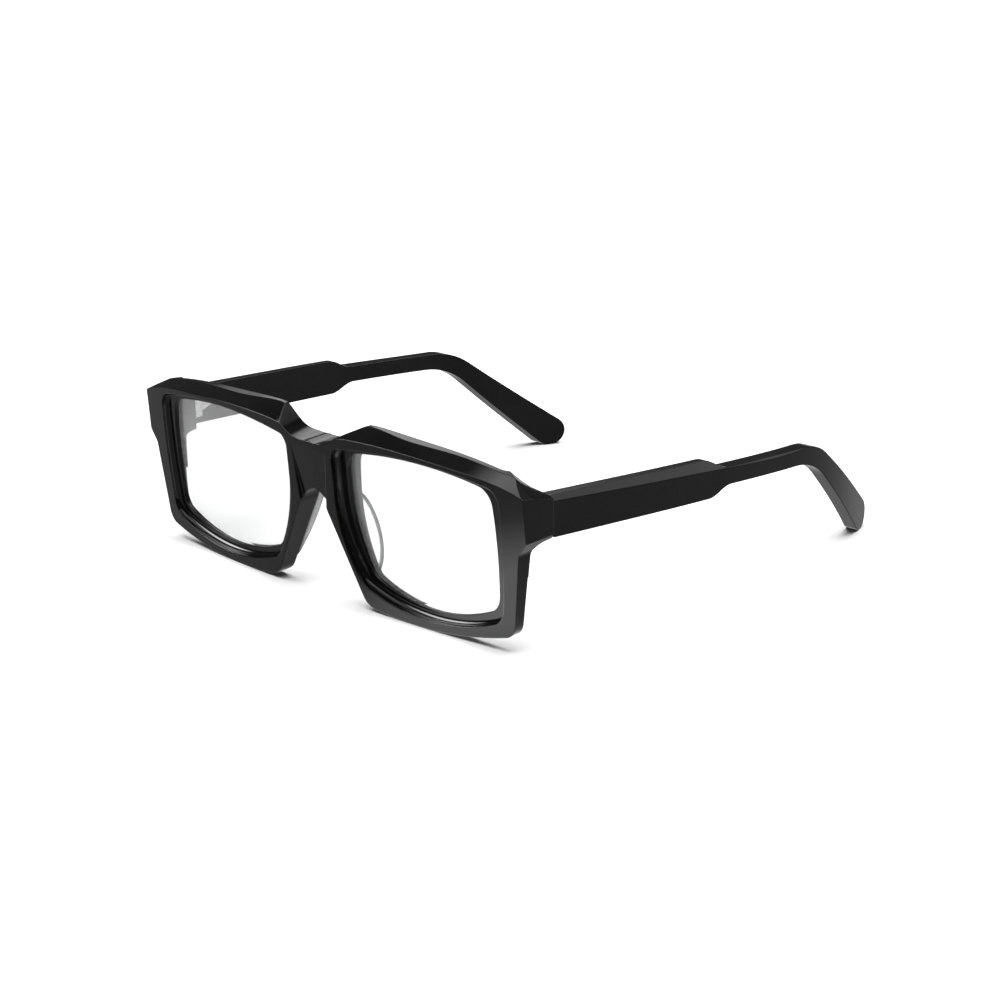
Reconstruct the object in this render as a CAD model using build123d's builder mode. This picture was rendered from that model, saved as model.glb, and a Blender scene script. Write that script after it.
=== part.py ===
from build123d import *

import os
from math import atan, cos, radians, sin, tan

# ---------------------------------------------------------------------------
# A full-rim acetate eyeglasses frame, standing open on a table on the bottoms
# of its rims and the ends of its arms. Millimetres. X runs across the front
# (+X is on the right when the frame faces the viewer), Y runs from the front
# back to the arm tips, Z is up. The origin is on the table, on the plane of
# symmetry, midway between the front and the arm tips.
# ---------------------------------------------------------------------------

# Overall
FRAME_WIDTH = 145.2
FRAME_DEPTH = 138.0
FRONT_Y = -FRAME_DEPTH / 2
BROW_HEIGHT = 43.0
LENS_TILT = 3.94
FACE_RADIUS = 600.0
BACK_RADIUS = 1500.0
BRIDGE_THICKNESS = 7.4

# Front outline
SIDE_X = FRAME_WIDTH / 2
BRIDGE_TOP = 40.2
ARCH_TOP = 27.6
NASAL_CORNER_RADIUS = 5.0
OUTER_CORNER_RADIUS = 4.0
UNDER_END_PIECE_RADIUS = 2.0
BROW_RISE = 0.29
BROW_CHAMFER_WAY = (0, 1, 0.37)
NOTCH_WAY = (0.27, 1, 0.07)
RECESS_TOP = 38.6
RECESS_DEPTH = 0.9
RECESS_DRAFT = 16.0
REACH = 90.0

# Lens opening
LENS_NASAL_X = 11.8
LENS_OUTER_X = 62.0
LENS_CENTRE_V = 22.4
LIP_DEPTH_NASAL = 2.45
LIP_DEPTH_OUTER = 1.6
LENS_MEAN_RADIUS = 22.0
COVE_RADIUS = 1.3
LENS_RADIUS = 450.0
LENS_SET_BACK = 0.5
LENS_THICKNESS = 1.0
GROOVE_DEPTH = 0.6
GROOVE_CLEARANCE = 0.05

# End pieces and the seam with the arms
SEAM_Y = FRONT_Y + 14.25
SEAM_GAP = 0.1
END_PIECE_INNER_X = 64.6
END_PIECE_LOW = 27.1
END_PIECE_INNER_FILLET = 4.0
# The top of the end piece seen from the front, at four depths.
END_PIECE_TOPS = [
    (FRONT_Y + 3.5, [(58.0, 49.0), (66.0, 43.2), (72.6, 39.2), (76.0, 37.6)]),
    (FRONT_Y + 8.0, [(58.0, 47.0), (66.0, 42.8), (72.6, 38.8), (76.0, 37.0)]),
    (FRONT_Y + 11.5, [(58.0, 45.0), (65.0, 40.7), (71.2, 38.5), (76.0, 36.6)]),
    (SEAM_Y + 1.0, [(58.0, 42.5), (64.6, 38.2), (70.2, 38.1), (76.0, 36.4)]),
]
END_PIECE_FILLET = 3.5

# Arms
ARM_THICKNESS = 4.3
TIP_RADIUS = 4.1
TIP_Y = FRAME_DEPTH / 2 - TIP_RADIUS
EAR_ANGLE = 39.0
CORE_RADIUS = 0.6
CORE_CHANNEL = 0.63

# Distance behind the seam, and x of the arm's middle there.
ARM_MIDDLE = [
    (SEAM_GAP, 70.35), (25.0, 71.3), (50.0, 71.8), (70.0, 71.2), (88.5, 69.3), (105.0, 65.2),
    (120.0, 58.9), (126.0, 56.1),
]
ARM_CHAMFER_X = 76.0
ARM_CHAMFER = [(-5.0, 33.6), (25.0, 32.6), (50.0, 31.4), (88.0, 26.7), (110.0, 25.0)]
UPPER_BEND_RADIUS = 18.0
LOWER_BEND_RADIUS = 20.0

# Nose pads
PAD_ROOT = 0.6
PAD_THICKNESS = 1.5
PAD_EDGE_RADIUS = 0.4
# The free edge, from the foot of the pad to its top: distance down the nose, and out from the rim.
PAD_EDGE = [(13.0, 0.6), (9.5, 3.4), (4.0, 5.2), (-2.5, 5.5), (-7.5, 4.4), (-11.5, 0.0)]

# Hinges
HINGE_X = 66.3
HINGE_Y = SEAM_Y + 1.8
HINGE_Z = 33.5
BARREL_RADIUS = 1.35
KNUCKLES = 7
KNUCKLE_HEIGHT = 0.72
KNUCKLE_GAP = 0.04
SCREW_RADIUS = 0.7
SCREW_CLEARANCE = 0.04
SCREW_HEAD_RADIUS = 1.15
SCREW_HEAD_HEIGHT = 0.6
SCREW_SLOT = 0.35
LEAF_THICKNESS = 0.8
LEAF_HEIGHT = 5.6
LEAF_CORNER = 0.2
FRONT_LEAF_INNER_X = 64.9
ARM_LEAF_X = 68.3
ARM_LEAF_START = 0.3
ARM_LEAF_LENGTH = 8.5
ARM_LEAF_SHOULDER = 3.6
ARM_LEAF_NOSE = 1.6
RIVET_RADIUS = 0.5
RIVET_STEP = 1.9
RIVET_LENGTH = 4.0
FRONT_RIVET_X = 66.3
ARM_RIVETS_ALONG = (3.6, 6.6)
ARM_RIVET_LENGTH = 1.3
FIT = 0.02

# ---------------------------------------------------------------------------
# Reference planes
# ---------------------------------------------------------------------------

tilt = radians(LENS_TILT)
up_the_face = Vector(0, -sin(tilt), cos(tilt))
into_the_face = Vector(0, cos(tilt), sin(tilt))
foot_of_face = Vector(0, FRONT_Y + tan(tilt) * BROW_HEIGHT, 0)

# Local x is across the front and local y is up the face.
face_plane = Plane(origin=foot_of_face, x_dir=(1, 0, 0), z_dir=-into_the_face)
# Local x is across the front and local y is the depth behind the face.
section_plane = Plane(origin=foot_of_face, x_dir=(1, 0, 0), z_dir=up_the_face)


def face_sag(x):
    """Depth of the curved front behind its foremost line, at a distance x from the middle."""
    return x * x / (2 * FACE_RADIUS)


def back_y(x):
    """Rear surface of the rims at a distance x from the middle."""
    return FRONT_Y + BRIDGE_THICKNESS + x * x / (2 * BACK_RADIUS)


# The lens plane leans back outwards and passes behind the face by the lip depths.
LENS_CENTRE_X = (LENS_NASAL_X + LENS_OUTER_X) / 2
nasal_depth = face_sag(LENS_NASAL_X) + LIP_DEPTH_NASAL
outer_depth = face_sag(LENS_OUTER_X) + LIP_DEPTH_OUTER
wrap = atan((outer_depth - nasal_depth) / (LENS_OUTER_X - LENS_NASAL_X))
lens_across = Vector(cos(wrap), sin(wrap), 0)
lens_centre = (
    foot_of_face
    + Vector(LENS_CENTRE_X, 0, 0)
    + up_the_face * LENS_CENTRE_V
    + into_the_face * (nasal_depth + outer_depth) / 2
)
lens_plane = Plane(origin=lens_centre, x_dir=lens_across, z_dir=lens_across.cross(up_the_face))
# Local x is across the lens and local y is the depth behind the lens plane.
lens_section_plane = Plane(origin=lens_centre, x_dir=lens_across, z_dir=up_the_face)

# Local x is towards the back and local y is up.
side_plane = Plane(origin=(0, 0, 0), x_dir=(0, 1, 0), z_dir=(1, 0, 0))

# The floor of the recess between the rims: level with the face at its top edge.
recess_lean = tilt + atan(RECESS_DEPTH / (RECESS_TOP - ARCH_TOP))
recess_plane = Plane(
    origin=foot_of_face + up_the_face * RECESS_TOP,
    x_dir=(1, 0, 0),
    z_dir=(0, -cos(recess_lean), -sin(recess_lean)),
)

# The nose pad's mid-plane: local x runs down the nasal edge, local y back and outwards.
pad_down = Vector(0.46, 0, -0.89)
pad_out = Vector(0.38, 0.88, 0.2)
pad_plane = Plane(
    origin=(9.4, FRONT_Y + BRIDGE_THICKNESS, 18.0), x_dir=pad_down, z_dir=pad_down.cross(pad_out)
)

# ---------------------------------------------------------------------------
# Outlines
# ---------------------------------------------------------------------------


def from_lens_centre(x, v):
    return (x - LENS_CENTRE_X, v - LENS_CENTRE_V)


def rim_opening(nasal, bottom, outer, top, radii):
    """The rounded window of a rim, drawn about the lens centre.

    Its nasal side is upright at the top and curves out to the foot. nasal is (x, height where
    the curve starts); bottom, outer and top are each a side's (first corner, middle); radii
    are those of the four corners, from the top nasal one round past the foot.
    """
    top_outer, top_middle = (from_lens_centre(*point) for point in top)
    foot, bottom_middle = (from_lens_centre(*point) for point in bottom)
    low_outer, outer_middle = (from_lens_centre(*point) for point in outer)
    top_nasal = (nasal[0] - LENS_CENTRE_X, top_outer[1])
    with BuildSketch(Plane.XY) as window:
        with BuildLine():
            upright = Line(top_nasal, from_lens_centre(*nasal))
            TangentArc(upright @ 1, foot, tangent=upright % 1)
            ThreePointArc(foot, bottom_middle, low_outer)
            ThreePointArc(low_outer, outer_middle, top_outer)
            ThreePointArc(top_outer, top_middle, top_nasal)
        make_face()
        for corner, radius in zip((top_nasal, foot, low_outer, top_outer), radii):
            fillet(window.vertices().sort_by_distance(corner)[0], radius)
    return window.sketch


def crease_outline():
    return rim_opening(
        nasal=(8.4, 29.0), bottom=((16.6, 6.3), (36.5, 2.2)), outer=((63.6, 7.4), (65.0, 24.0)),
        top=((64.6, 39.6), (37.0, 42.2)), radii=(3.0, 5.0, 5.5, 4.0),
    )


def lip_outline():
    return rim_opening(
        nasal=(LENS_NASAL_X, 30.0), bottom=((18.4, 8.2), (37.4, 4.2)),
        outer=((61.2, 9.7), (LENS_OUTER_X, 24.0)), top=((60.9, 38.6), (37.0, 40.7)),
        radii=(4.5, 5.0, 5.0, 5.0),
    )


def lens_disc(grow, clearance):
    """A gently bowed disc behind the lens plane: the lens itself, or the groove that holds it."""
    half = LENS_OUTER_X - LENS_CENTRE_X + 5.0
    bow = half * half / (2 * LENS_RADIUS)
    front = LENS_SET_BACK - clearance
    back = LENS_SET_BACK + LENS_THICKNESS + clearance
    with BuildPart() as disc:
        with BuildSketch(lens_section_plane):
            with BuildLine():
                ThreePointArc((-half, front + bow), (0, front), (half, front + bow))
                Line((half, front + bow), (half, back + bow))
                ThreePointArc((half, back + bow), (0, back), (-half, back + bow))
                Line((-half, back + bow), (-half, front + bow))
            make_face()
        extrude(amount=half, both=True)
        with BuildSketch(lens_plane.offset(-10.0)):
            add(lip_outline())
            scale(by=1 + grow / LENS_MEAN_RADIUS)
        extrude(amount=20.0, mode=Mode.INTERSECT)
    return disc.part


def chamfer_point(x, v):
    """Where the brow chamfer's front edge, at height v on the curved face, starts in the face plane."""
    return (x, v - BROW_RISE * face_sag(x))


# ---------------------------------------------------------------------------
# Hinges, all at +X
# ---------------------------------------------------------------------------


def leaf_pocket(clearance):
    """The room of the front leaf's plate, let into the rear face of the end piece."""
    with BuildPart() as room:
        with BuildSketch(Plane.XZ.offset(-SEAM_Y)):
            with Locations(((FRONT_LEAF_INNER_X + HINGE_X + BARREL_RADIUS) / 2, HINGE_Z)):
                RectangleRounded(
                    HINGE_X + BARREL_RADIUS - FRONT_LEAF_INNER_X + 2 * clearance,
                    LEAF_HEIGHT + 2 * clearance,
                    LEAF_CORNER,
                )
        extrude(amount=LEAF_THICKNESS + clearance)
    return room.part


def arm_leaf_outline(clearance):
    """The arm leaf's plate: square at the knuckles and narrowing backwards."""
    half = LEAF_HEIGHT / 2
    with BuildSketch(Plane.XY) as plate:
        Polygon(
            (ARM_LEAF_START, -half), (ARM_LEAF_SHOULDER, -half), (ARM_LEAF_LENGTH, -ARM_LEAF_NOSE / 2),
            (ARM_LEAF_LENGTH, ARM_LEAF_NOSE / 2), (ARM_LEAF_SHOULDER, half), (ARM_LEAF_START, half),
            align=None,
        )
        fillet(plate.vertices(), ARM_LEAF_NOSE / 3)
        scale(by=1 + clearance / half)
    return plate.sketch


def rivets(radius, plane, places, length):
    """Round rivets standing on a plane."""
    with BuildPart() as pins:
        with BuildSketch(plane):
            with Locations(*places):
                Circle(radius)
        extrude(amount=length)
    return pins.part


front_rivet_plane = Plane.XZ.offset(-SEAM_Y)
front_rivet_places = [(FRONT_RIVET_X, HINGE_Z + step) for step in (-RIVET_STEP, RIVET_STEP)]
arm_leaf_plane = Plane(origin=(ARM_LEAF_X, SEAM_Y, HINGE_Z), x_dir=(0, 1, 0), z_dir=(1, 0, 0))
arm_rivet_places = [(along, 0) for along in ARM_RIVETS_ALONG]

knuckle_pitch = KNUCKLE_HEIGHT + KNUCKLE_GAP
knuckle_feet = [HINGE_Z + (step - KNUCKLES / 2) * knuckle_pitch for step in range(KNUCKLES)]

with BuildPart() as front_hinge:
    add(leaf_pocket(0))
    for foot in knuckle_feet[::2]:
        with BuildSketch(Plane.XY.offset(foot)):
            with Locations((HINGE_X, HINGE_Y)):
                Circle(BARREL_RADIUS)
                Rectangle(2 * BARREL_RADIUS, HINGE_Y - SEAM_Y + FIT, align=(Align.CENTER, Align.MAX))
        extrude(amount=KNUCKLE_HEIGHT)
    with BuildSketch(Plane.XY):
        with Locations((HINGE_X, HINGE_Y)):
            Circle(SCREW_RADIUS + SCREW_CLEARANCE)
    extrude(amount=REACH, mode=Mode.SUBTRACT)
    add(rivets(RIVET_RADIUS + FIT, front_rivet_plane, front_rivet_places, RIVET_LENGTH), mode=Mode.SUBTRACT)

with BuildPart() as temple_hinge:
    with BuildSketch(arm_leaf_plane):
        add(arm_leaf_outline(0))
    extrude(amount=LEAF_THICKNESS)
    for foot in knuckle_feet[1::2]:
        with BuildSketch(Plane.XY.offset(foot)):
            with Locations((HINGE_X, HINGE_Y)):
                Circle(BARREL_RADIUS)
                Rectangle(ARM_LEAF_X - HINGE_X + FIT, BARREL_RADIUS, align=(Align.MIN, Align.MIN))
        extrude(amount=KNUCKLE_HEIGHT)
    with BuildSketch(Plane.XY):
        with Locations((HINGE_X, HINGE_Y)):
            Circle(SCREW_RADIUS + SCREW_CLEARANCE)
    extrude(amount=REACH, mode=Mode.SUBTRACT)
    add(rivets(RIVET_RADIUS + FIT, arm_leaf_plane, arm_rivet_places, RIVET_LENGTH), mode=Mode.SUBTRACT)

with BuildPart() as front_rivets:
    add(rivets(RIVET_RADIUS, front_rivet_plane, front_rivet_places, RIVET_LENGTH))

with BuildPart() as temple_rivets:
    add(rivets(RIVET_RADIUS, arm_leaf_plane, arm_rivet_places, ARM_RIVET_LENGTH))

screw_top = knuckle_feet[-1] + knuckle_pitch
with BuildPart() as hinge_screw:
    with BuildSketch(Plane.XY.offset(knuckle_feet[0])):
        with Locations((HINGE_X, HINGE_Y)):
            Circle(SCREW_RADIUS)
    extrude(amount=screw_top - knuckle_feet[0])
    with BuildSketch(Plane.XY.offset(screw_top)):
        with Locations((HINGE_X, HINGE_Y)):
            Circle(SCREW_HEAD_RADIUS)
    extrude(amount=SCREW_HEAD_HEIGHT)
    chamfer(hinge_screw.edges().sort_by(Axis.Z)[-1], SCREW_HEAD_HEIGHT / 3)
    with BuildSketch(Plane.XY.offset(screw_top + SCREW_HEAD_HEIGHT / 2)):
        with Locations(Location((HINGE_X, HINGE_Y), 30)):
            Rectangle(3 * SCREW_HEAD_RADIUS, SCREW_SLOT)
    extrude(amount=SCREW_HEAD_HEIGHT, mode=Mode.SUBTRACT)

# ---------------------------------------------------------------------------
# Front frame: the half at +X is built, then mirrored
# ---------------------------------------------------------------------------

# Everything behind the curved front face.
with BuildPart() as behind_face:
    with BuildSketch(section_plane):
        with BuildLine():
            ThreePointArc((-REACH, face_sag(REACH)), (0, 0), (REACH, face_sag(REACH)))
            Polyline((REACH, face_sag(REACH)), (REACH, REACH), (-REACH, REACH), (-REACH, face_sag(REACH)))
        make_face()
    extrude(amount=REACH, both=True)

# Everything in front of the rim's rear surface, and the room the end piece fills behind it.
with BuildPart() as before_back:
    with BuildSketch(Plane.XY.offset(-REACH)):
        with BuildLine():
            ThreePointArc((-REACH, back_y(REACH)), (0, back_y(0)), (REACH, back_y(REACH)))
            Polyline((REACH, back_y(REACH)), (REACH, -REACH), (-REACH, -REACH), (-REACH, back_y(REACH)))
        make_face()
    extrude(amount=2 * REACH)
    with BuildSketch(side_plane.offset(END_PIECE_INNER_X)):
        with BuildLine():
            rim_back = back_y(SIDE_X) - 1.0
            Polyline(
                (rim_back, END_PIECE_LOW - 8.0), (rim_back + 1.0, END_PIECE_LOW - 8.0),
                (rim_back + 1.0, END_PIECE_LOW), (SEAM_Y, END_PIECE_LOW + 0.8),
                (SEAM_Y, REACH), (rim_back, REACH), close=True,
            )
        make_face()
    extrude(amount=REACH - END_PIECE_INNER_X)
    fillet(
        before_back.edges().filter_by(Axis.X).filter_by_position(
            Axis.Z, END_PIECE_LOW - 1.0, END_PIECE_LOW + 0.5
        ),
        END_PIECE_FILLET,
    )
    fillet(
        before_back.edges().filter_by(Axis.Z).sort_by_distance((END_PIECE_INNER_X, rim_back, REACH / 2))[0],
        END_PIECE_INNER_FILLET,
    )

# What is cut away for the lens: the dished pocket in front of it, with a rounded foot all
# round, then the window, then the groove that holds its edge.
with BuildPart() as lens_room:
    with BuildSketch(lens_plane):
        add(crease_outline())
    extrude(amount=12.0)
    fillet(lens_room.faces().sort_by(Axis(lens_centre, lens_plane.z_dir))[0].edges(), COVE_RADIUS)
    with BuildSketch(lens_plane.offset(-15.0)):
        add(lip_outline())
    extrude(amount=30.0)
    add(lens_disc(GROOVE_DEPTH, GROOVE_CLEARANCE))

under_end_piece = (70.0, 25.0)

with BuildPart() as front_frame:
    with BuildSketch(face_plane.offset(2.0)) as outline:
        with BuildLine():
            brow = Spline(
                (0, BRIDGE_TOP), (5.7, 40.4), (8.5, 41.4), (10.7, 42.9), (13.6, 44.6), (19.5, 45.4),
                (29.5, 45.1), (49.0, 44.2), (66.0, 42.2),
            )
            side = Polyline(brow @ 1, (SIDE_X, 40.9), (SIDE_X, 28.2), under_end_piece, (66.9, 4.2))
            floor = ThreePointArc(side @ 1, (40.0, 0.05), (17.4, 1.2))
            nasal = Line(floor @ 1, (5.4, 23.2))
            arch = ThreePointArc(nasal @ 1, (3.0, 26.5), (0, ARCH_TOP))
            Line(arch @ 1, brow @ 0)
        make_face()
        for corner, radius in (
            (nasal @ 0, NASAL_CORNER_RADIUS),
            (side @ 1, OUTER_CORNER_RADIUS),
            (under_end_piece, UNDER_END_PIECE_RADIUS),
        ):
            fillet(outline.vertices().sort_by_distance(corner)[0], radius)
    extrude(amount=-30.0)
    add(behind_face.part, mode=Mode.INTERSECT)
    add(before_back.part, mode=Mode.INTERSECT)

    # The end piece's top falls away outwards in front and lies level at the arm.
    for y, edge in END_PIECE_TOPS:
        with BuildSketch(Plane.XZ.offset(-y)):
            Polygon(*edge, (edge[-1][0], REACH), (edge[0][0], REACH), align=None)
    loft(ruled=True, mode=Mode.SUBTRACT)

    # The notch above the bridge widens towards the back.
    with BuildSketch(face_plane):
        with BuildLine():
            flank = Spline(
                (-5.0, BRIDGE_TOP), (0, BRIDGE_TOP), (5.7, 40.4), (8.5, 41.4), (10.7, 42.9), (13.6, 45.0),
                (16.0, 47.0),
            )
            Polyline(flank @ 1, (-5.0, 47.0), flank @ 0)
        make_face()
    extrude(amount=15.0, dir=NOTCH_WAY, mode=Mode.SUBTRACT)

    # The long chamfer along the brow.
    with BuildSketch(face_plane):
        with BuildLine():
            edge = Spline(
                (-6.0, 40.1), (0, 40.1), (6.2, 40.7), (9.2, 42.2), (14.0, 43.2),
                chamfer_point(20.0, 43.6), chamfer_point(34.0, 43.6), chamfer_point(50.0, 42.7),
                chamfer_point(66.0, 40.9), chamfer_point(SIDE_X + 2, 38.3),
            )
            Polyline(edge @ 1, (SIDE_X + 2, REACH), (-6.0, REACH), edge @ 0)
        make_face()
    extrude(amount=40.0, dir=BROW_CHAMFER_WAY, mode=Mode.SUBTRACT)

    # The recess between the rims, deeper towards the nose.
    with BuildSketch(recess_plane):
        Polygon((-1, 2.0), (6.9, 2.0), (4.4, -18.0), (-1, -18.0), align=None)
    extrude(amount=5.0, taper=-RECESS_DRAFT, mode=Mode.SUBTRACT)

    add(lens_room.part, mode=Mode.SUBTRACT)

    # Room for the hinge leaf and its rivets in the end piece.
    add(leaf_pocket(FIT), mode=Mode.SUBTRACT)
    add(
        rivets(RIVET_RADIUS + FIT, front_rivet_plane, front_rivet_places, RIVET_LENGTH + FIT),
        mode=Mode.SUBTRACT,
    )
    mirror(about=Plane.YZ)

# ---------------------------------------------------------------------------
# Arms, at +X
# ---------------------------------------------------------------------------


def arm_x(side):
    """Points of an arm's wall seen from above: side is -1 for its inner wall, +1 for its outer."""
    return [(x + side * ARM_THICKNESS / 2, SEAM_Y + along) for along, x in ARM_MIDDLE]


tip_centre = (TIP_Y, TIP_RADIUS)
ear = radians(EAR_ANGLE)
tip_across = Vector(sin(ear), cos(ear)) * TIP_RADIUS
tip_upper = Vector(*tip_centre) + tip_across
tip_lower = Vector(*tip_centre) - tip_across
tip_end = Vector(*tip_centre) + Vector(cos(ear), -sin(ear)) * TIP_RADIUS


def behind_seam(along, z):
    return (SEAM_Y + along, z)


# The core wire's course: it leaves the hinge end level and follows the bend to the tip.
core_course = [
    (70.35, SEAM_Y - 1.0, 32.9), (71.3, SEAM_Y + 25.0, 32.1), (71.8, SEAM_Y + 50.0, 31.0),
    (71.2, SEAM_Y + 70.0, 30.0), (69.6, SEAM_Y + 86.0, 28.3), (66.0, SEAM_Y + 103.0, 17.4),
    (62.6, SEAM_Y + 112.0, 10.3),
]


def core_wire(radius, start):
    """A round wire along the core's course, beginning at a given distance behind its first point."""
    with BuildPart() as wire:
        with BuildLine():
            course = Spline(*core_course)
        with BuildSketch(Plane(origin=course @ 0, z_dir=course % 0)):
            Circle(radius)
        sweep()
        split(bisect_by=Plane.XZ.offset(-(SEAM_Y + start)), keep=Keep.BOTTOM)
    return wire.part


with BuildPart() as temple:
    with BuildSketch(side_plane.offset(40.0)) as profile:
        with BuildLine():
            hinge_end = Line(behind_seam(SEAM_GAP, 28.2), behind_seam(SEAM_GAP, 38.1))
            upper = Line(hinge_end @ 1, behind_seam(49.5, 35.8))
            upper_step = Spline(upper @ 1, behind_seam(57.0, 33.0), tangents=(upper % 1, (1, -0.05)))
            upper_bend = behind_seam(92.0, 31.0)
            shank = Line(upper_step @ 1, upper_bend)
            Line(shank @ 1, tip_upper)
            ThreePointArc(tip_upper, tip_end, tip_lower)
            lower_bend = behind_seam(90.0, 27.0)
            Line(tip_lower, lower_bend)
            under = Line(lower_bend, behind_seam(57.7, 28.7))
            lower_step = Spline(under @ 1, behind_seam(49.5, 26.6), tangents=(under % 1, (-1, 0.04)))
            Line(lower_step @ 1, hinge_end @ 0)
        make_face()
        fillet(profile.vertices().sort_by_distance(upper_bend)[0], UPPER_BEND_RADIUS)
        fillet(profile.vertices().sort_by_distance(lower_bend)[0], LOWER_BEND_RADIUS)
    extrude(amount=40.0)
    with BuildSketch(Plane.XY.offset(-1.0)):
        with BuildLine():
            inner = Spline(*arm_x(-1))
            outer = Spline(*arm_x(1))
            Line(inner @ 0, outer @ 0)
            Line(inner @ 1, outer @ 1)
        make_face()
    extrude(amount=REACH, mode=Mode.INTERSECT)
    # The flat that runs the length of the upper outer edge.
    with BuildSketch(side_plane.offset(ARM_CHAMFER_X)):
        with BuildLine():
            lower_line = Spline(*[behind_seam(along, z) for along, z in ARM_CHAMFER])
            Polyline(
                lower_line @ 1, (TIP_Y, REACH), (SEAM_Y - 5.0, REACH), lower_line @ 0
            )
        make_face()
    extrude(amount=15.0, dir=(-1, 0, 1), mode=Mode.SUBTRACT)
    add(core_wire(CORE_CHANNEL, -1.0), mode=Mode.SUBTRACT)
    with BuildSketch(arm_leaf_plane.offset(LEAF_THICKNESS + FIT)):
        add(arm_leaf_outline(FIT))
    extrude(amount=-5.0, mode=Mode.SUBTRACT)
    add(
        rivets(RIVET_RADIUS + FIT, arm_leaf_plane, arm_rivet_places, ARM_RIVET_LENGTH + FIT),
        mode=Mode.SUBTRACT,
    )

with BuildPart() as temple_core:
    add(core_wire(CORE_RADIUS, 1.5))

# ---------------------------------------------------------------------------
# Lens and nose pad, at +X
# ---------------------------------------------------------------------------

with BuildPart() as lens:
    add(lens_disc(GROOVE_DEPTH - 0.1, 0.0))

with BuildPart() as nose_pad:
    with BuildSketch(pad_plane):
        with BuildLine():
            free_edge = Spline(*PAD_EDGE)
            Polyline(
                free_edge @ 1, (PAD_EDGE[-1][0], -PAD_ROOT), (PAD_EDGE[0][0], -PAD_ROOT), free_edge @ 0
            )
        make_face()
    extrude(amount=PAD_THICKNESS / 2, both=True)
    fillet(nose_pad.faces().sort_by(SortBy.AREA)[-2:].edges(), PAD_EDGE_RADIUS)
    add(front_frame.part, mode=Mode.SUBTRACT)

# ---------------------------------------------------------------------------
# Write every piece: the sided ones at +X, and mirrored at -X
# ---------------------------------------------------------------------------

os.makedirs("parts", exist_ok=True)

front_frame.part.label = "front_frame"
export_step(front_frame.part, "parts/front_frame.step")

sided_pieces = {
    "lens": lens,
    "nose_pad": nose_pad,
    "front_hinge": front_hinge,
    "front_rivets": front_rivets,
    "hinge_screw": hinge_screw,
    "temple": temple,
    "temple_core": temple_core,
    "temple_hinge": temple_hinge,
    "temple_rivets": temple_rivets,
}
for name, right_piece in sided_pieces.items():
    with BuildPart() as left_piece:
        mirror(right_piece.part, about=Plane.YZ)
    for side, piece in (("right", right_piece), ("left", left_piece)):
        piece.part.label = f"{name}_{side}"
        export_step(piece.part, f"parts/{name}_{side}.step")
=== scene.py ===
import math

import bpy
from mathutils import Matrix, Vector


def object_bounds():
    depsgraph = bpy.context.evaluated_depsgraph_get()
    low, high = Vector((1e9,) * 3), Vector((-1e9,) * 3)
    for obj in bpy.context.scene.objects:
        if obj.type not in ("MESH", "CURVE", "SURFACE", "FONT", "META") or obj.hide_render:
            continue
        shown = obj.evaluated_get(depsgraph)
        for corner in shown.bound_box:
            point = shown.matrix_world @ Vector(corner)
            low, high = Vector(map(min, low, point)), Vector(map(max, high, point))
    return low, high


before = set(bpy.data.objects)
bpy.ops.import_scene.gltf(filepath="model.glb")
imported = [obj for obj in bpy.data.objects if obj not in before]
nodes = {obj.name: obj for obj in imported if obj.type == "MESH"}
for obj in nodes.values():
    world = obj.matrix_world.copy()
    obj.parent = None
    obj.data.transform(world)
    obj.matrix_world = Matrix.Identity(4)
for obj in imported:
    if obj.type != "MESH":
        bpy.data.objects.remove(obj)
cad_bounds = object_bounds()

MM = 0.001

# ---------------------------------------------------------------------------
# Material helpers
# ---------------------------------------------------------------------------

EDGE_SAMPLES = 8


def new_material(name):
    """An empty node material with a Principled shader wired to its output."""
    material = bpy.data.materials.new(name)
    material.use_nodes = True
    tree = material.node_tree
    tree.nodes.clear()
    output = tree.nodes.new("ShaderNodeOutputMaterial")
    shader = tree.nodes.new("ShaderNodeBsdfPrincipled")
    tree.links.new(shader.outputs["BSDF"], output.inputs["Surface"])
    return material, tree, shader, output


def noise(tree, scale, detail=3.0, roughness=0.5, stretch=(1, 1, 1)):
    """A noise texture in object space, optionally stretched."""
    place = tree.nodes.new("ShaderNodeTexCoord")
    mapping = tree.nodes.new("ShaderNodeMapping")
    mapping.inputs["Scale"].default_value = stretch
    texture = tree.nodes.new("ShaderNodeTexNoise")
    texture.inputs["Scale"].default_value = scale
    texture.inputs["Detail"].default_value = detail
    texture.inputs["Roughness"].default_value = roughness
    tree.links.new(place.outputs["Object"], mapping.inputs["Vector"])
    tree.links.new(mapping.outputs["Vector"], texture.inputs["Vector"])
    return texture.outputs["Fac"]


def ramp(tree, factor, stops):
    """Maps a factor to colours; stops is a list of (position, grey or colour)."""
    node = tree.nodes.new("ShaderNodeValToRGB")
    elements = node.color_ramp.elements
    while len(elements) < len(stops):
        elements.new(0.5)
    for element, (position, value) in zip(elements, stops):
        element.position = position
        element.color = (value, value, value, 1) if isinstance(value, float) else (*value, 1)
    tree.links.new(factor, node.inputs["Fac"])
    return node.outputs["Color"]


def bump(tree, height, strength, distance, normal=None):
    node = tree.nodes.new("ShaderNodeBump")
    node.inputs["Strength"].default_value = strength
    node.inputs["Distance"].default_value = distance
    tree.links.new(height, node.inputs["Height"])
    if normal is not None:
        tree.links.new(normal, node.inputs["Normal"])
    return node.outputs["Normal"]


def rounded_edges(tree, radius):
    """Shading normals that roll over an edge the way a polished edge does."""
    node = tree.nodes.new("ShaderNodeBevel")
    node.samples = EDGE_SAMPLES
    node.inputs["Radius"].default_value = radius
    return node.outputs["Normal"]


def facing_away(tree):
    """0 where a surface faces the eye and 1 where it is seen edge on."""
    node = tree.nodes.new("ShaderNodeLayerWeight")
    node.inputs["Blend"].default_value = 0.5
    return node.outputs["Facing"]


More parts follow.
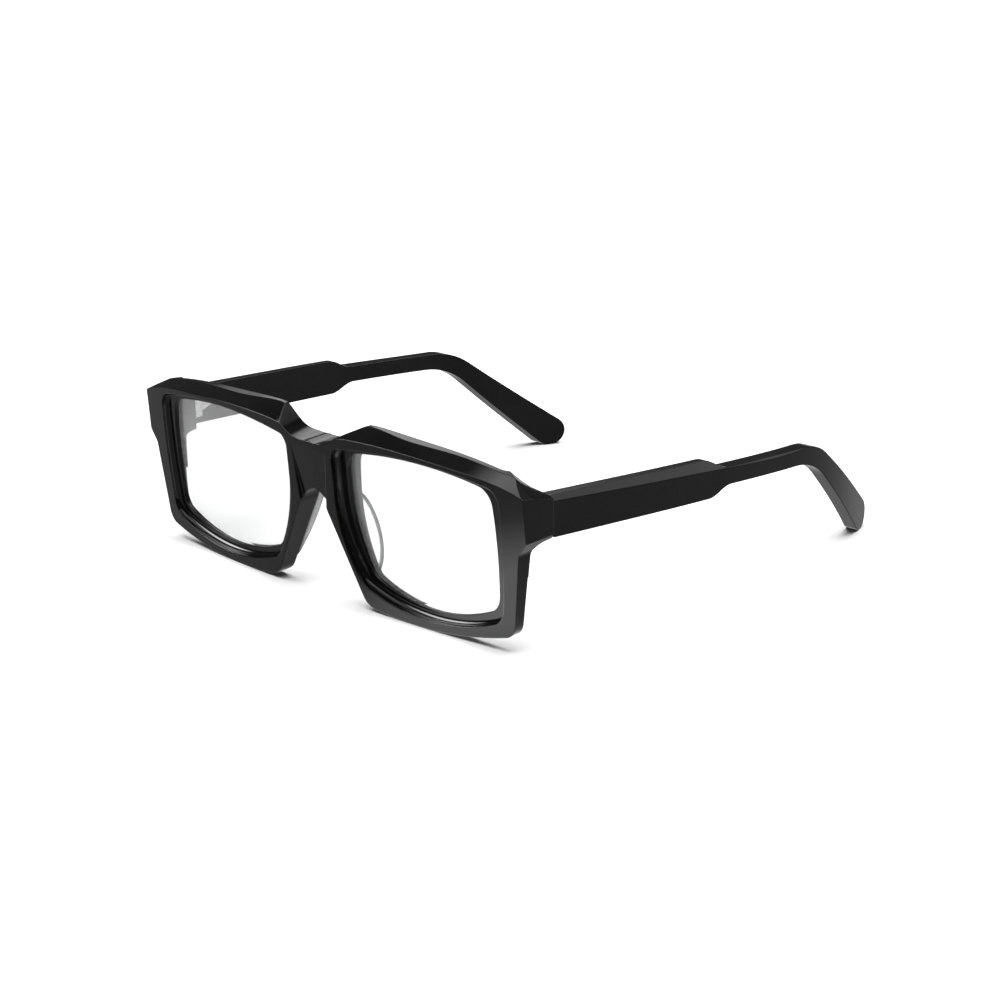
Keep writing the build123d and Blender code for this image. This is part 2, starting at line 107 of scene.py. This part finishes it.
def combine(tree, operation, first, second):
    """A math node on two sockets."""
    node = tree.nodes.new("ShaderNodeMath")
    node.operation = operation
    tree.links.new(first, node.inputs[0])
    tree.links.new(second, node.inputs[1])
    return node.outputs["Value"]


def mix_shaders(tree, factor, first, second):
    """Mixes two shaders; factor is a number or a socket, and 1 gives the second."""
    node = tree.nodes.new("ShaderNodeMixShader")
    if isinstance(factor, float):
        node.inputs["Fac"].default_value = factor
    else:
        tree.links.new(factor, node.inputs["Fac"])
    tree.links.new(first, node.inputs[1])
    tree.links.new(second, node.inputs[2])
    return node.outputs["Shader"]


# ---------------------------------------------------------------------------
# Materials
# ---------------------------------------------------------------------------

ACETATE_DARK = (0.0020, 0.0020, 0.0022)
ACETATE_LIGHT = (0.0050, 0.0048, 0.0050)
ACETATE_IOR = 1.48
ACETATE_SHEEN = 0.16
ACETATE_EDGE = 0.4 * MM
METAL_EDGE = 0.08 * MM
LENS_TINT = (0.985, 0.988, 0.988, 1)
LENS_POLISH = 0.03
VEIL_SHARE_FROM_BEHIND = 0.6
PAD_TINT = (0.97, 0.975, 0.975, 1)
# Painted shade: the opaque dark colour the clear pad is given at its edges and where it is seen
# aslant.
PAD_PAINTED_SHADE = (0.02, 0.02, 0.021, 1)
PAD_SHEEN = 0.2
PAD_RIM_WIDTH = 1.3 * MM
PAD_RIM_SAMPLES = 12


def polished_acetate():
    """Black acetate: tumbled to a gloss, with a faint waviness and hair-fine haze."""
    material, tree, shader, _ = new_material("polished_black_acetate")
    depth = ramp(tree, noise(tree, 60.0, 4.0), [(0.3, ACETATE_DARK), (0.7, ACETATE_LIGHT)])
    tree.links.new(depth, shader.inputs["Base Color"])
    haze = ramp(tree, noise(tree, 900.0, 6.0, 0.65), [(0.35, 0.06), (0.75, 0.11)])
    tree.links.new(haze, shader.inputs["Roughness"])
    shader.inputs["IOR"].default_value = ACETATE_IOR
    shader.inputs["Specular IOR Level"].default_value = ACETATE_SHEEN
    edges = rounded_edges(tree, ACETATE_EDGE)
    waviness = bump(tree, noise(tree, 70.0, 1.0, 0.3), 0.12, 0.1 * MM, edges)
    fine = bump(tree, noise(tree, 2500.0, 2.0), 0.02, 0.01 * MM, waviness)
    tree.links.new(fine, shader.inputs["Normal"])
    return material


def clear_lens():
    """A thin clear lens that lets light straight through, with a faint pale veil and a shine."""
    material, tree, shader, output = new_material("clear_lens")
    tree.nodes.remove(shader)
    clear = tree.nodes.new("ShaderNodeBsdfTransparent")
    clear.inputs["Color"].default_value = LENS_TINT
    front_haze = tree.nodes.new("ShaderNodeBsdfDiffuse")
    through_haze = tree.nodes.new("ShaderNodeBsdfTranslucent")
    scatter = mix_shaders(
        tree, VEIL_SHARE_FROM_BEHIND, front_haze.outputs["BSDF"], through_haze.outputs["BSDF"]
    )
    aslant = facing_away(tree)
    cloud = ramp(tree, noise(tree, 25.0, 2.0), [(0.3, 0.9), (0.7, 1.0)])
    haze = combine(tree, "MULTIPLY", cloud, ramp(tree, aslant, [(0.30, 0.07), (0.48, 0.21)]))
    veiled = mix_shaders(tree, haze, clear.outputs["BSDF"], scatter)
    mirror = tree.nodes.new("ShaderNodeBsdfGlossy")
    mirror.inputs["Roughness"].default_value = LENS_POLISH
    shine = ramp(tree, aslant, [(0.3, 0.01), (1.0, 0.25)])
    surface = mix_shaders(tree, shine, veiled, mirror.outputs["BSDF"])
    tree.links.new(surface, output.inputs["Surface"])
    return material


def clear_pad():
    """A clear moulded pad: nearly invisible face on, with painted shade along its edges and where
    it is seen aslant.
    """
    material, tree, shader, output = new_material("clear_nose_pad")
    shader.inputs["Base Color"].default_value = PAD_PAINTED_SHADE
    shader.inputs["Specular IOR Level"].default_value = PAD_SHEEN
    moulded = ramp(tree, noise(tree, 700.0), [(0.3, 0.10), (0.8, 0.22)])
    tree.links.new(moulded, shader.inputs["Roughness"])
    tree.links.new(bump(tree, noise(tree, 250.0), 0.1, 0.05 * MM), shader.inputs["Normal"])
    clear = tree.nodes.new("ShaderNodeBsdfTransparent")
    clear.inputs["Color"].default_value = PAD_TINT
    # Painted shade: the pad turns opaque dark where it is seen aslant and near its edges. This
    # stands in for the dark look that light bent in clear plastic gives.
    aslant = ramp(tree, facing_away(tree), [(0.45, 0.0), (0.75, 0.85)])
    nearness = tree.nodes.new("ShaderNodeAmbientOcclusion")
    nearness.inside = True
    nearness.only_local = True
    nearness.samples = PAD_RIM_SAMPLES
    nearness.inputs["Distance"].default_value = PAD_RIM_WIDTH
    rim = ramp(tree, nearness.outputs["AO"], [(0.90, 0.95), (0.99, 0.0)])
    painted_shade_mask = combine(tree, "MAXIMUM", aslant, rim)
    surface = mix_shaders(tree, painted_shade_mask, clear.outputs["BSDF"], shader.outputs["BSDF"])
    tree.links.new(surface, output.inputs["Surface"])
    return material


def metal(name, light, dark, smooth, rough, stretch):
    """Metal with fine marks drawn out along one direction."""
    material, tree, shader, _ = new_material(name)
    shader.inputs["Metallic"].default_value = 1.0
    marks = noise(tree, 900.0, 5.0, 0.6, stretch)
    tree.links.new(ramp(tree, marks, [(0.3, dark), (0.7, light)]), shader.inputs["Base Color"])
    tree.links.new(ramp(tree, marks, [(0.3, smooth), (0.7, rough)]), shader.inputs["Roughness"])
    edges = rounded_edges(tree, METAL_EDGE)
    tree.links.new(bump(tree, marks, 0.15, 0.01 * MM, edges), shader.inputs["Normal"])
    return material


acetate = polished_acetate()
lens_glass = clear_lens()
pad_plastic = clear_pad()
hinge_metal = metal("hinge_nickel", (0.93, 0.93, 0.93), (0.80, 0.80, 0.81), 0.16, 0.34, (1, 1, 12))
screw_metal = metal("screw_steel", (0.85, 0.85, 0.86), (0.68, 0.68, 0.70), 0.12, 0.30, (10, 10, 1))
rivet_metal = metal("rivet_nickel", (0.86, 0.86, 0.87), (0.70, 0.70, 0.72), 0.20, 0.38, (1, 10, 1))
core_metal = metal(
    "core_wire_steel", (0.70, 0.70, 0.71), (0.52, 0.52, 0.54), 0.25, 0.45, (1, 0.1, 1)
)

looks = {
    "front_frame": acetate,
    "temple": acetate,
    "lens": lens_glass,
    "nose_pad": pad_plastic,
    "front_hinge": hinge_metal,
    "temple_hinge": hinge_metal,
    "hinge_screw": screw_metal,
    "front_rivets": rivet_metal,
    "temple_rivets": rivet_metal,
    "temple_core": core_metal,
}


def base_name(node):
    for side in ("_right", "_left"):
        node = node.removesuffix(side)
    return node


for name, obj in nodes.items():
    for slot in obj.material_slots:
        slot.material = looks[base_name(name)]

# ---------------------------------------------------------------------------
# Floor
# ---------------------------------------------------------------------------

FLOOR_HALF = 3.0

low, high = cad_bounds
low, high = Vector(low), Vector(high)
middle = (low + high) / 2

# Painted reflection: glossy rays see the floor glow as a pool of light by the near rim, dim
# elsewhere, while the camera sees plain paper.
POOL_CENTRE = (50 * MM, -90 * MM)
POOL_RADIUS = 75 * MM
POOL_STRENGTH = 5.0
PAPER_ROUGHNESS = 0.9


def floor_material():
    material, tree, shader, output = new_material("floor_paper")
    fibre = noise(tree, 300.0, 4.0)
    tree.links.new(ramp(tree, fibre, [(0.3, 0.88), (0.7, 0.90)]), shader.inputs["Base Color"])
    shader.inputs["Roughness"].default_value = PAPER_ROUGHNESS
    shader.inputs["Specular IOR Level"].default_value = 0.0
    tree.links.new(bump(tree, fibre, 0.05, 0.02 * MM), shader.inputs["Normal"])

    place = tree.nodes.new("ShaderNodeTexCoord")
    mapping = tree.nodes.new("ShaderNodeMapping")
    away = [-along / POOL_RADIUS for along in POOL_CENTRE]
    mapping.inputs["Location"].default_value = (*away, 0)
    mapping.inputs["Scale"].default_value = (1 / POOL_RADIUS, 1 / POOL_RADIUS, 0)
    tree.links.new(place.outputs["Object"], mapping.inputs["Vector"])
    pool = tree.nodes.new("ShaderNodeTexGradient")
    pool.gradient_type = "SPHERICAL"
    tree.links.new(mapping.outputs["Vector"], pool.inputs["Vector"])
    # Painted reflection: an emission that only glossy rays see. It is not a lamp and not the
    # paper's colour.
    mirrored = tree.nodes.new("ShaderNodeEmission")
    mirrored.inputs["Strength"].default_value = POOL_STRENGTH
    painted_reflection_glow = ramp(tree, pool.outputs["Fac"], [(0.0, 0.14), (0.35, 0.21), (0.8, 1.0)])
    tree.links.new(painted_reflection_glow, mirrored.inputs["Color"])
    ray = tree.nodes.new("ShaderNodeLightPath")
    surface = mix_shaders(
        tree, ray.outputs["Is Glossy Ray"], shader.outputs["BSDF"], mirrored.outputs["Emission"]
    )
    tree.links.new(surface, output.inputs["Surface"])
    return material


floor_mesh = bpy.data.meshes.new("floor")
signs = [(-1, -1), (1, -1), (1, 1), (-1, 1)]
corners = [(x * FLOOR_HALF, y * FLOOR_HALF, low.z) for x, y in signs]
floor_mesh.from_pydata(corners, [], [(0, 1, 2, 3)])
floor = bpy.data.objects.new("floor", floor_mesh)
floor_mesh.materials.append(floor_material())
bpy.context.scene.collection.objects.link(floor)

# ---------------------------------------------------------------------------
# Light: a dim sky with a bright zenith, and soft lights that only reflections see
# ---------------------------------------------------------------------------

world = bpy.data.worlds.new("studio")
bpy.context.scene.world = world
world.use_nodes = True
sky = world.node_tree
sky.nodes.clear()
direction = sky.nodes.new("ShaderNodeTexCoord")
split = sky.nodes.new("ShaderNodeSeparateXYZ")
sky.links.new(direction.outputs["Generated"], split.inputs["Vector"])
# The sky's strength at each height, 0 being the horizon and 1 the zenith.
SKY = [(0.0, 0.06), (0.40, 0.10), (0.76, 0.10), (0.86, 5.0)]
# Each soft light's direction, strength and spread.
SOFT_LIGHTS = [
    ((0.29, 0.64, 0.71), 2.4, 0.45),
    ((-0.70, 0.60, 0.45), 2.2, 0.25),
    ((-0.71, -0.45, 0.53), 30.0, 0.30),
]
# Ramps hold colours up to 1, so strengths are divided by this and the background restores them.
SKY_PEAK = 40.0

light = ramp(sky, split.outputs["Z"], [(height, strength / SKY_PEAK) for height, strength in SKY])
sight = sky.nodes.new("ShaderNodeLightPath")
for way, strength, spread in SOFT_LIGHTS:
    apart = sky.nodes.new("ShaderNodeVectorMath")
    apart.operation = "DISTANCE"
    apart.inputs[1].default_value = way
    sky.links.new(direction.outputs["Generated"], apart.inputs[0])
    level = strength / SKY_PEAK
    glow = ramp(sky, apart.outputs["Value"], [(0.0, level), (spread / 2, level), (spread, 0.0)])
    mirrored = sky.nodes.new("ShaderNodeVectorMath")
    mirrored.operation = "SCALE"
    sky.links.new(glow, mirrored.inputs[0])
    sky.links.new(sight.outputs["Is Glossy Ray"], mirrored.inputs["Scale"])
    total = sky.nodes.new("ShaderNodeVectorMath")
    sky.links.new(light, total.inputs[0])
    sky.links.new(mirrored.outputs["Vector"], total.inputs[1])
    light = total.outputs["Vector"]
background = sky.nodes.new("ShaderNodeBackground")
background.inputs["Strength"].default_value = SKY_PEAK
sky.links.new(light, background.inputs["Color"])
world_output = sky.nodes.new("ShaderNodeOutputWorld")
sky.links.new(background.outputs["Background"], world_output.inputs["Surface"])

# ---------------------------------------------------------------------------
# Camera
# ---------------------------------------------------------------------------

CAMERA_AZIMUTH = 48.13
CAMERA_ELEVATION = 17.06
CAMERA_ROLL = -1.44
CAMERA_DISTANCE = 0.729
CAMERA_AIM = middle + Vector((0.01685, -0.02135, -0.00495))
CAMERA_LENS = 104.4
SENSOR_WIDTH = 36.0
NEAREST_SEEN = 0.01

azimuth, elevation = math.radians(CAMERA_AZIMUTH), math.radians(CAMERA_ELEVATION)
across = math.cos(elevation)
outward = Vector((math.sin(azimuth) * across, -math.cos(azimuth) * across, math.sin(elevation)))
camera_data = bpy.data.cameras.new("camera")
camera_data.sensor_width = SENSOR_WIDTH
camera_data.lens = CAMERA_LENS
camera_data.clip_start = NEAREST_SEEN
camera = bpy.data.objects.new("camera", camera_data)
turn = (-outward).to_track_quat("-Z", "Y").to_matrix().to_4x4()
roll = Matrix.Rotation(math.radians(CAMERA_ROLL), 4, "Z")
camera.matrix_world = Matrix.Translation(CAMERA_AIM + outward * CAMERA_DISTANCE) @ turn @ roll
bpy.context.scene.collection.objects.link(camera)
bpy.context.scene.camera = camera

bpy.context.scene.view_settings.view_transform = "Standard"
bpy.context.scene.view_settings.look = "None"
